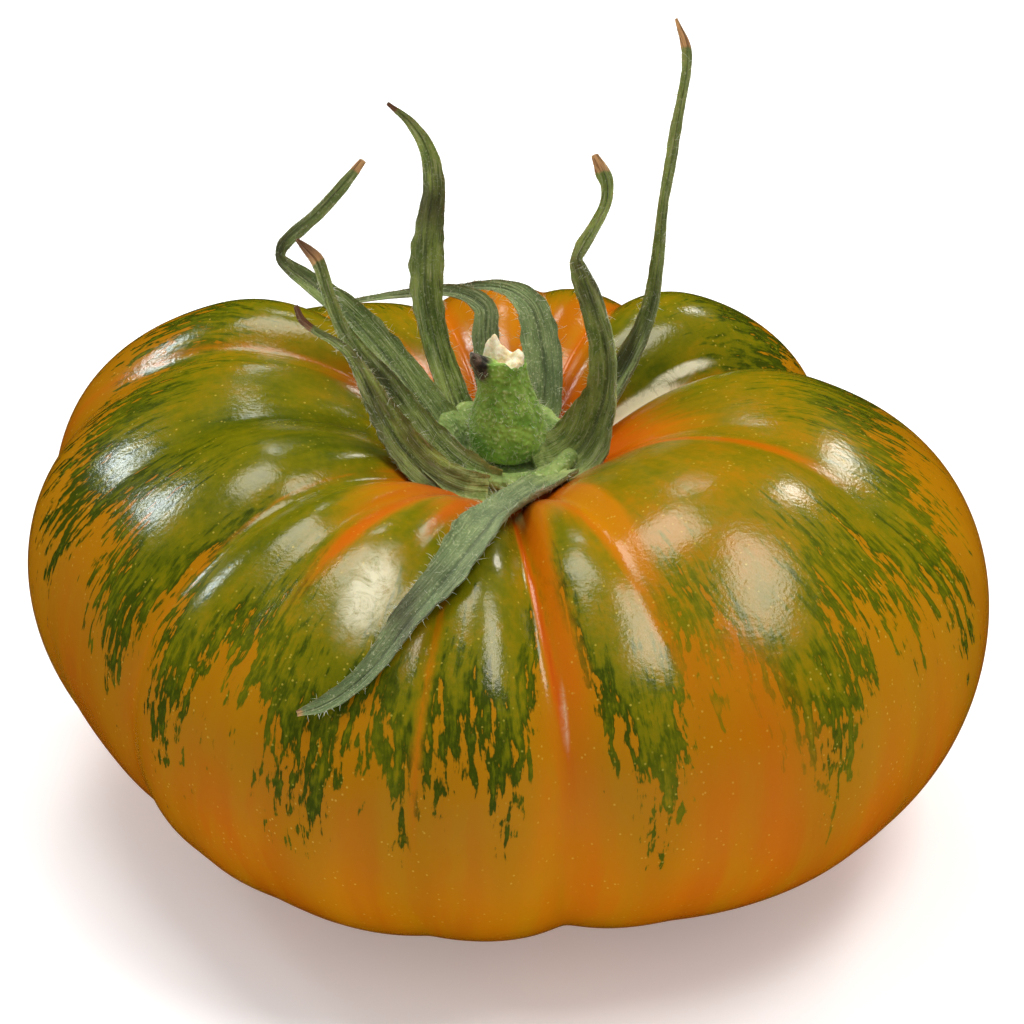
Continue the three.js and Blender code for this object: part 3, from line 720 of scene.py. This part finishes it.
# Name; the way the channel opens at root and tip; centre line from root to tip as x, y, z and width in mm;
# the share of the length where the brown tip begins, paleness, how withered it is, and where it is darkest.
SEPALS = [
    ("sepal_right_kinked", (-0.6, -0.7, 0.4), (-0.4, -0.9, 0.1), [
        (3.2, -4.2, 41.4, 4.6), (5.4, -3, 41.8, 6.4), (7.4, -2.2, 43.3, 7.2), (8.9, -1.9, 46.3, 5.8),
        (10, -2, 49.8, 3.8), (10, -2, 54.8, 3.2), (9, -2, 59, 2.9), (7.9, -2, 62.5, 2.7),
        (7.2, -2, 64.7, 1.9), (7.1, -2, 65.7, 1.3), (7.6, -2.1, 66.9, 1.5), (8.9, -2.2, 69.4, 1.3),
        (9.9, -2.3, 71.8, 1.2), (10.1, -2.4, 73.8, 1.4), (9.7, -2.3, 75.4, 1.7), (8.8, -2.2, 77.4, 0.8),
    ], 0.95, 0.1, 0.2, (0.62,)),
    ("sepal_right_long", (-0.6, -0.5, 0.6), (-0.4, -0.9, 0.1), [
        (4.8, 1.8, 40.7, 4.6), (7.4, 3.2, 42.3, 4.6), (9.3, 4.5, 44.2, 4.2), (11.9, 6, 47.6, 3.2),
        (13.8, 6.6, 51.4, 2.4), (15.1, 7, 55.2, 2), (15.8, 7, 60.3, 1.6), (16.3, 7, 67.5, 1.2),
        (17, 7, 72.4, 1.3), (17.4, 7, 75.8, 1.3), (17.9, 7, 79.2, 1.1), (18.4, 6.9, 82.9, 1.1),
        (18.3, 6.8, 85.6, 1.1), (17.2, 6.6, 88.7, 0.3),
    ], 0.935, 0.2, 0.3, (0.25,)),
    ("sepal_back_right", (-0.2, -0.9, 0.4), (0, -0.5, 1), [
        (2, 5, 40.7, 4), (3.4, 7.1, 42.2, 4.1), (3.8, 9, 45, 4.2), (3.4, 12, 48.6, 4.2),
        (2.2, 15, 51.6, 3.2), (-1, 18, 52.2, 1.6), (-6.8, 20.5, 50.8, 0.6),
    ], 0.99, 0.9, 0.1, (0.95,)),
    ("sepal_back_left", (0.1, -0.9, 0.4), (0, -0.4, 1), [
        (-1.3, 5.4, 40.7, 3), (-1.3, 7.8, 41.9, 3), (-2.4, 9.9, 45.6, 2.8), (-2.6, 12, 49.4, 2.9),
        (-2.8, 14, 51.8, 2.4), (-5.9, 16, 52.6, 1.6), (-11.4, 17.5, 51.6, 1.1), (-17.3, 18, 50.4, 0.6),
    ], 0.99, 0.85, 0.4, (0.8,)),
    ("sepal_upright", (0.4, -0.9, 0.4), (0.2, -1, 0.1), [
        (-3.5, 2.8, 40.9, 3.8), (-5, 5.4, 42.4, 3.4), (-6.5, 8, 45.3, 3.2), (-8, 9.5, 50, 3),
        (-8.9, 10, 55.2, 3.5), (-8.9, 10, 59.7, 3.8), (-8.5, 9.9, 64.4, 3), (-8.1, 9.5, 68.4, 2.4),
        (-8.6, 9, 72.7, 1.8), (-10.3, 8.5, 76.1, 1.1), (-12.7, 8, 78.6, 0.4),
    ], 0.97, 0.1, 0.2, (0.68, 0.99)),
    ("sepal_left_kinked", (0.6, -0.5, 0.6), (0.3, -0.9, 0.2), [
        (-5.1, 0.6, 41.1, 4.8), (-6.8, 2.2, 42.4, 4.8), (-9.8, 3.6, 46.3, 4.6), (-13.2, 4.6, 50.9, 4.2),
        (-16.8, 5.4, 55, 3.3), (-20.4, 6, 58.1, 2.4), (-23.4, 6.4, 60.4, 1.6), (-24.3, 6.5, 61.5, 1.1),
        (-23.8, 6.4, 63.2, 1.5), (-20.4, 6.2, 66.7, 1.5), (-17.6, 5.6, 70.2, 1.4),
        (-15.3, 5, 73.4, 0.8),
    ], 0.965, 0.55, 0.15, (0.66,)),
    ("sepal_left_broad", (0.5, -0.7, 0.5), (0.4, -0.9, 0.3), [
        (-1.2, -7.6, 41, 4.2), (-3.6, -7.2, 41.5, 5), (-6.1, -6.4, 42.7, 5.4), (-8.6, -5.2, 44.9, 5.1),
        (-10.9, -4.4, 48, 4.3), (-13.4, -4.2, 51.9, 3.5), (-16, -4.3, 55.8, 2.3),
        (-17.8, -4.4, 59.3, 1.5), (-18.8, -4.5, 62.5, 1.4), (-19.8, -4.5, 66.3, 1.5),
        (-20.8, -4.5, 67.7, 1.1), (-21.9, -4.5, 68.9, 0.4),
    ], 0.91, 0.25, 0.3, (0.5, 0.98)),
    ("sepal_left_withered", (0.3, -0.6, 0.7), (0.4, -0.8, 0.4), [
        (-2.2, -8, 40.9, 3.6), (-4.4, -8.2, 41.3, 4.4), (-6.6, -8.4, 42.3, 4.7), (-9, -8.2, 44, 4.6),
        (-11.2, -8, 46.6, 4.2), (-13, -8.1, 50, 3.4), (-14.3, -8.3, 52.9, 2.6),
        (-15.6, -8.4, 55.9, 1.7), (-17, -8.3, 58.1, 1.1), (-18.5, -8.1, 59.2, 0.9),
        (-20, -8, 60.1, 0.8), (-21.4, -8, 61.4, 0.8), (-22, -8, 63, 0.5),
    ], 0.9, 0, 0.7, (0.78, 0.98)),
    ("sepal_front", (-0.1, 0.1, 1), (-0.4, -0.7, 0.6), [
        (6.2, -4.6, 42, 3.2), (4.4, -6.6, 42.1, 4), (2, -10.6, 42.7, 4.2), (-0.1, -17.5, 45, 4.4),
        (-1.5, -23, 47.2, 4.8), (-2.9, -28, 48, 5), (-5.5, -33.2, 47.1, 4.5), (-7.7, -35.6, 45.4, 4),
        (-10, -38.8, 44.1, 3.3), (-11.9, -41.5, 42.5, 2.7), (-13.8, -43.5, 41, 2.3),
        (-15.9, -44.5, 39.4, 2), (-18.3, -44.9, 37.9, 1.6), (-20.9, -44.6, 36.6, 0.6),
    ], 0.99, 1, 0.12, (0.72,)),
]
SEPAL_CHANNEL, SEPAL_CURL = 0.14, 0.1
EDGE_WAVE, PLEAT_DEPTH, CRUMPLE_DEPTH = 0.035, 0.1, 0.04
MIDRIB_WIDTH, MIDRIB_ABOVE, MIDRIB_BELOW = 0.12, -0.22, -0.3
EDGE_THICKNESS, BODY_THICKNESS = 0.24, 0.3
# The brown comes in over this share of the length, and a dark place reaches this share to each side.
BROWN_FADE, DARK_REACH = 0.03, 0.09
# Width in mm under which a sepal is paler green, the mm over which that comes in, and the knit root's length.
NARROW_FROM, NARROW_FADE, KNIT_LENGTH = 1.9, 0.7, 5.5
# Each sepal and its under side read the grain from places this far apart.
GRAIN_APART, UNDER_APART = 9.0, 3.0
SEPAL_ROWS = 200
SEPAL_ACROSS = 38


def unit(vectors):
    """Vectors over their length."""
    return vectors / np.linalg.norm(vectors, axis=-1, keepdims=True)


def blade_points(face_root, face_tip, line, flatness, seed):
    """Upper and under side as rows by columns: the centre line plus u w/2 sideways, then inwards the
    channel 0.14 w (u^2 - 1), pleats cos(11 u), crumples cos(4 u) and a curl 0.1 w |u|^3, half a thickness
    that thins to the edges and the tip to each side, and a sunken midrib exp(-(u / 0.12)^2)."""
    line = np.array(line, float)
    t = np.linspace(0, 1, SEPAL_ROWS)
    u = np.sin(np.linspace(-1, 1, SEPAL_ACROSS) * np.pi / 2)[None, :]
    curve = drawn_curve(line, t)
    centre, width = curve[:, :3], curve[:, 3:]
    along = unit(np.gradient(centre, axis=0))
    face = np.outer(1 - t, face_root) + np.outer(t, face_tip)
    sideways = unit(np.cross(along, face))
    inward = np.cross(sideways, along)
    t = t[:, None]
    length = travelled(centre)
    left_edge = 1 + EDGE_WAVE * ripple(length, seed, 6, 0.5, 3.5)[:, None]
    right_edge = 1 + EDGE_WAVE * ripple(length, seed + 1, 6, 0.5, 3.5)[:, None]
    half = width / 2 * np.where(u < 0, left_edge, right_edge)
    slim = np.clip(width / 3, 0.3, 1)
    slim_pleats = slim * (1 - 0.7 * flatness)
    pleats = PLEAT_DEPTH * slim_pleats * np.cos(u * 11 + 0.8 * ripple(length, seed + 2, 4, 0.1, 0.6)[:, None])
    crumple = CRUMPLE_DEPTH * slim_pleats * ripple(length, seed + 3, 5, 0.6, 2.6)[:, None]
    crumple = crumple * np.cos(u * 4 + seed)
    curl = SEPAL_CURL * width * (np.abs(u) ** 3) * (1 + 0.6 * ripple(length, seed + 4, 3, 0.15, 0.5)[:, None])
    lift = SEPAL_CHANNEL * width * (u * u - 1) + pleats + crumple + curl
    groove = np.exp(-((u / MIDRIB_WIDTH) ** 2)) * slim
    thick = EDGE_THICKNESS + BODY_THICKNESS * np.sqrt(np.clip(1 - u * u, 0, 1))
    thick = thick * np.clip(1.5 - t, 0.7, 1.5) * np.clip(slim * 1.3, 0.6, 1)
    flat = centre[:, None] + sideways[:, None] * (u * half)[..., None]
    sheets = []
    for side, rib in ((0.5, MIDRIB_ABOVE), (-0.5, MIDRIB_BELOW)):
        rise = lift + side * thick + rib * groove
        sheets.append(flat + inward[:, None] * rise[..., None])
    return sheets[0], sheets[1], t + 0 * u, u + 0 * t, u * half, width + 0 * u


def blade_faces(rows, across):
    """Quads of the upper sheet, of the under sheet turned over, and round the rim that joins them."""
    index = np.arange(rows * across).reshape(rows, across)
    quads = np.stack([index[:-1, :-1], index[:-1, 1:], index[1:, 1:], index[1:, :-1]], axis=-1).reshape(-1, 4)
    under = quads[:, ::-1] + rows * across
    rim = np.r_[index[0, :-1], index[:-1, -1], index[-1, :0:-1], index[:0:-1, 0]]
    after = np.roll(rim, -1)
    wall = np.stack([after, rim, rim + rows * across, after + rows * across], axis=-1)
    return np.concatenate([quads, under, wall])


def outward(points, faces):
    """The faces turned over if they enclose a negative volume."""
    p = np.asarray(points)
    volume = sum((p[faces[:, 0]] * np.cross(p[faces[:, k]], p[faces[:, k + 1]])).sum() for k in (1, 2))
    return faces if volume > 0 else faces[:, ::-1]


leaf, tree, shader = new_material(
    "DriedLeaf",
    IOR=1.4,
    Sheen_Weight=0.22,
    Sheen_Roughness=0.5,
    Sheen_Tint=(0.85, 0.95, 0.7, 1.0),
    Subsurface_Weight=0.06,
    Subsurface_Scale=0.001,
)
place = node(tree, "TexCoord").outputs["Object"]
lie = value_of(tree, "lie", "Vector")
across = sums(tree, "ABSOLUTE", value_of(tree, "across"))
tip, pale, wither, root, narrow = (
    value_of(tree, name) for name in ("tip_brown", "pale", "wither", "root", "narrow")
)
drawn = node(tree, "Mapping", {"Vector": lie, "Scale": (1.0, 0.2, 1.0)}).outputs[0]
thin = node(tree, "Mapping", {"Vector": lie, "Scale": (5.0, 0.22, 1.0)}).outputs[0]
tone = patches(tree, drawn, 1.1, 0.34, 0.66, 4.0)
colour = tint(tree, tone, rgb(104, 128, 40), rgb(176, 192, 92))
fresh = tint(tree, tone, rgb(134, 156, 60), rgb(182, 198, 104))
colour = tint(tree, times(tree, narrow, 0.8), colour, fresh)
colour = tint(tree, pale, colour, tint(tree, tone, rgb(98, 118, 66), rgb(130, 148, 90)))
lines = noise_at(tree, thin, 1.0, 4.0, 0.65)
# The streaks that the bump raises are painted pale as a painted highlight, and the sunken ones dark as painted
# shade, weaker on the pale sepals.
rough_leaf = sums(tree, "MULTIPLY_ADD", pale, -0.6, 1.0)
ridge_highlight = times(tree, span(tree, lines, 0.54, 0.66, 0.0, 0.85), rough_leaf)
crease_shade = times(tree, span(tree, lines, 0.32, 0.44, 0.75, 0.0), rough_leaf)
colour = tint(tree, ridge_highlight, colour, rgb(204, 206, 150))
colour = tint(tree, crease_shade, colour, rgb(48, 54, 20))
felt = noise_at(tree, place, 3200.0, 2.0, 0.7)
colour = tint(tree, span(tree, felt, 0.55, 0.7, 0.0, 0.6), colour, rgb(204, 208, 160))
dry = times(tree, wither, patches(tree, drawn, 0.8, 0.3, 0.6, 4.0))
colour = tint(tree, times(tree, dry, 0.85), colour, rgb(62, 54, 28))
midrib = span(tree, about_middle(tree, felt, 0.25, across), 0.02, 0.16, 0.5, 0.0)
colour = tint(tree, midrib, colour, rgb(40, 50, 22))
knit = tint(tree, patches(tree, place, 900.0, 0.4, 0.6, 3.0), rgb(128, 150, 64), rgb(184, 198, 112))
colour = tint(tree, root, colour, knit)
brown = tint(tree, span(tree, lines, 0.35, 0.6), rgb(132, 82, 40), rgb(230, 180, 118))
brown = tint(tree, span(tree, wither, 0.5, 1.0, 0.0, 0.85), brown, rgb(86, 48, 30))
colour = tint(tree, span(tree, about_middle(tree, lines, 0.5, tip), 0.35, 0.65), colour, brown)
rough = span(tree, lines, 0.3, 0.7, 0.75, 0.52)
relief = grain(tree, place, 2200.0, 0.0001, times(tree, lines, 5.0))
dress(tree, shader, Base_Color=colour, Roughness=rough, Normal=relief)

sepal_sheets = {}
for number, (name, face_root, face_tip, line, tip_from, paleness, withered, darkest) in enumerate(SEPALS):
    upper, under, t, u, aside, width = blade_points(face_root, face_tip, line, paleness, 100 + 10 * number)
    points = np.concatenate([upper.reshape(-1, 3), under.reshape(-1, 3)])
    faces = outward(points, blade_faces(SEPAL_ROWS, SEPAL_ACROSS))
    sepal = new_piece("leaf" + name.removeprefix("sepal"), points, faces.tolist(), [name], leaf)
    sheet = (upper + under) / 2
    run = travelled(sheet[:, SEPAL_ACROSS // 2])[:, None] + 0 * u
    lie = np.stack([aside, run, 0 * u + number * GRAIN_APART], axis=-1).reshape(-1, 3)
    write_attribute(sepal, "lie", np.concatenate([lie, lie + (0, 0, UNDER_APART)]))
    dark_band = np.exp(-(((t[..., None] - darkest) / DARK_REACH) ** 2)).max(axis=-1)
    for title, values in (
        ("across", u),
        ("tip_brown", np.clip((t - tip_from) / BROWN_FADE + 0.5, 0, 1)),
        ("pale", paleness + 0 * u),
        ("wither", withered + (1 - withered) * 0.9 * dark_band),
        ("narrow", np.clip((NARROW_FROM - width) / NARROW_FADE, 0, 1)),
        ("root", np.clip(1 - run / KNIT_LENGTH, 0, 1)),
    ):
        write_attribute(sepal, title, np.tile(values.ravel(), 2))
    sepal_sheets[name] = (upper, under)

# ---- The hairs
# Short whitish hairs on the edges and faces of the sepals, on the stalk and on the dish, as on every
# tomato calyx. Each is a thin three-sided cone that bends a little.

HAIR_SIDES = 3
HAIR_STEPS = 4
HAIR_RADIUS = 0.026
# How many grow on each edge and on each face of a sepal, on the stalk and on the dish.
EDGE_HAIRS, FACE_HAIRS, STALK_HAIRS, DISH_HAIRS = 95, 110, 700, 400
# The height in mm that the dish's hairs point away from.
DISH_MIDDLE = 40


def hair_points(roots, ways, lengths, thickness, seed):
    """Each hair: its root plus its length times (its way times run plus a bend times run squared), with a
    radius that falls to a fifth at the tip."""
    chance = np.random.default_rng(seed)
    count = len(roots)
    bend = chance.normal(0, 0.35, (count, 3)) + (0, 0, -0.1)
    run = np.linspace(0, 1, HAIR_STEPS)[None, :, None]
    spine = roots[:, None] + lengths[:, None, None] * (ways[:, None] * run + bend[:, None] * run**2)
    cross = unit(np.cross(ways, chance.normal(size=(count, 3))))
    other = np.cross(ways, cross)
    turn = np.arange(HAIR_SIDES) * 2 * np.pi / HAIR_SIDES
    ring = cross[:, None] * np.cos(turn)[None, :, None] + other[:, None] * np.sin(turn)[None, :, None]
    radius = thickness * (1 - 0.8 * run)
    return (spine[:, :, None] + ring[:, None] * radius[..., None]).reshape(-1, 3)


def hair_faces(count):
    """Quads round each hair between its rings, with a triangle at each end."""
    k = np.arange(HAIR_SIDES)
    nxt = (k + 1) % HAIR_SIDES
    step = np.arange(HAIR_STEPS - 1)[:, None] * HAIR_SIDES
    around = [step + k, step + nxt, step + HAIR_SIDES + nxt, step + HAIR_SIDES + k]
    quads = np.stack(around, axis=-1).reshape(-1, 4)
    top = (HAIR_STEPS - 1) * HAIR_SIDES
    base = (np.arange(count) * HAIR_SIDES * HAIR_STEPS)[:, None, None]
    ends = np.array([k[::-1], top + k])
    return (quads[None] + base).reshape(-1, 4).tolist() + (ends[None] + base).reshape(-1, 3).tolist()


hair, tree, shader = new_material(
    "CalyxHair", Roughness=0.5, IOR=1.4, Subsurface_Weight=0.2, Subsurface_Scale=0.0005
)
place = node(tree, "TexCoord").outputs["Object"]
colour = tint(tree, patches(tree, place, 260.0, 0.4, 0.6), rgb(176, 182, 128), rgb(238, 236, 208))
dress(tree, shader, Base_Color=colour)

chance = np.random.default_rng(77)
roots, ways, lengths = [], [], []


def grow(points, out, scatter, shortest, longest):
    """Adds a hair at each point: its way is out plus a random scatter, made unit, its length drawn evenly."""
    roots.append(points)
    ways.append(unit(out + chance.normal(0, scatter, out.shape)))
    lengths.append(chance.uniform(shortest, longest, len(points)))


for upper, under in sepal_sheets.values():
    middle = (upper + under) / 2
    for edge, inside in ((0, 4), (-1, -5)):
        i = chance.integers(2, SEPAL_ROWS - 4, EDGE_HAIRS)
        grow(middle[i, edge], unit(middle[i, edge] - middle[i, inside]), 0.45, 0.2, 1.0)
    for sheet, other in ((upper, under), (under, upper)):
        i = chance.integers(0, int(SEPAL_ROWS * 0.8), FACE_HAIRS)
        j = chance.integers(2, SEPAL_ACROSS - 2, FACE_HAIRS)
        grow(sheet[i, j], unit(sheet[i, j] - other[i, j]), 0.5, 0.15, 0.6)
on_stalk = stub[1:-1][chance.integers(0, STALK_RINGS * STALK_COLUMNS, STALK_HAIRS)]
middle = np.c_[lean_at(on_stalk[:, 2:]), on_stalk[:, 2]]
grow(on_stalk, unit(on_stalk - middle), 0.35, 0.2, 0.75)
rings = chance.integers(int(DISH_RINGS * 0.4), int(DISH_RINGS * 0.8), DISH_HAIRS)
columns = chance.integers(0, DISH_COLUMNS, DISH_HAIRS)
on_dish = dish[1:-1][rings * DISH_COLUMNS + columns]
grow(on_dish, unit(on_dish - (0, 0, DISH_MIDDLE)), 0.35, 0.2, 0.8)
roots, ways, lengths = np.concatenate(roots), np.concatenate(ways), np.concatenate(lengths)
hairs = bpy.data.meshes.new("calyx_hairs")
hairs.from_pydata(hair_points(roots, ways, lengths, HAIR_RADIUS, 78) * MM, [], hair_faces(len(roots)))
hairs.polygons.foreach_set("use_smooth", np.ones(len(hairs.polygons), bool))
hairs.materials.append(hair)
fuzz = bpy.data.objects.new("calyx_hairs", hairs)
scene.collection.objects.link(fuzz)
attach(fuzz, "root")

# ---- The floor, the light and the camera
# A white studio table under two large softboxes overhead, with three smaller windows of light
# low behind the fruit. The camera looks down at it from the front.

FLOOR_HALF = 4.0
FLOOR_DROP = 0.0001
LIT_HEIGHT = 0.03
ground = bpy.data.meshes.new("floor")
corners = [(x * FLOOR_HALF, y * FLOOR_HALF, 0) for x, y in ((-1, -1), (1, -1), (1, 1), (-1, 1))]
ground.from_pydata(corners, [], [(0, 1, 2, 3)])
paper, tree, shader = new_material(
    "WhiteTable",
    Base_Color=(0.93, 0.93, 0.93, 1.0),
    Roughness=0.8,
    Emission_Color=(1.0, 1.0, 1.0, 1.0),
    Emission_Strength=0.22,
)
ground.materials.append(paper)
floor = bpy.data.objects.new("floor", ground)
floor.location.z = -FLOOR_DROP
scene.collection.objects.link(floor)
floor.visible_glossy = False

world = bpy.data.worlds.new("Studio")
scene.world = world
world.use_nodes = True
sky = world.node_tree.nodes["Background"].inputs
sky["Color"].default_value = (0.95, 0.97, 1.0, 1.0)
sky["Strength"].default_value = 0.58
world.cycles_visibility.glossy = False


def softbox(name, azimuth, elevation, distance, size, power, colour):
    """A rectangular area light at that direction from the fruit, facing it."""
    light = bpy.data.lights.new(name, "AREA")
    light.shape = "RECTANGLE"
    light.size, light.size_y = size
    light.energy = power
    light.color = colour
    lamp = bpy.data.objects.new(name, light)
    a, e = np.radians((azimuth, elevation))
    way = Vector((np.cos(a) * np.cos(e), np.sin(a) * np.cos(e), np.sin(e)))
    lamp.location = Vector((0, 0, LIT_HEIGHT)) + way * distance
    lamp.rotation_euler = way.to_track_quat("Z", "Y").to_euler()
    scene.collection.objects.link(lamp)


softbox("RightSoftbox", -3, 67, 1.3, (0.66, 0.42), 8.4, (1.0, 0.98, 0.95))
softbox("LeftSoftbox", 122, 68, 1.3, (0.56, 0.6), 8.4, (1.0, 0.98, 0.95))
softbox("LeftWindow", 141, 27, 1.2, (0.12, 0.16), 1.5, (0.82, 0.93, 1.0))
softbox("BackWindow", 94, 40, 1.2, (0.16, 0.12), 0.5, (0.95, 0.98, 1.0))
softbox("RightWindow", 56, 32, 1.2, (0.14, 0.2), 1.5, (1.0, 0.97, 0.92))

CAMERA_ELEVATION = 31
CAMERA_DISTANCE = 0.45
FOCAL_PIXELS = 4140
PICTURE_PIXELS = 1024
SENSOR_WIDTH = 36
TARGET = Vector((0, -0.003, 0.024))
AIM_ASIDE, AIM_UP = 0.00028, 0.0102
e = np.radians(CAMERA_ELEVATION)
back = Vector((0, -np.cos(e), np.sin(e)))
rise = Vector((0, np.sin(e), np.cos(e)))
camera = bpy.data.objects.new("Camera", bpy.data.cameras.new("Camera"))
camera.data.sensor_width = SENSOR_WIDTH
camera.data.lens = SENSOR_WIDTH * FOCAL_PIXELS / PICTURE_PIXELS
camera.location = TARGET + back * CAMERA_DISTANCE
aim = TARGET + rise * AIM_UP + Vector((AIM_ASIDE, 0, 0))
camera.rotation_euler = (camera.location - aim).to_track_quat("Z", "Y").to_euler()
scene.collection.objects.link(camera)
scene.camera = camera
scene.view_settings.view_transform = "Standard"
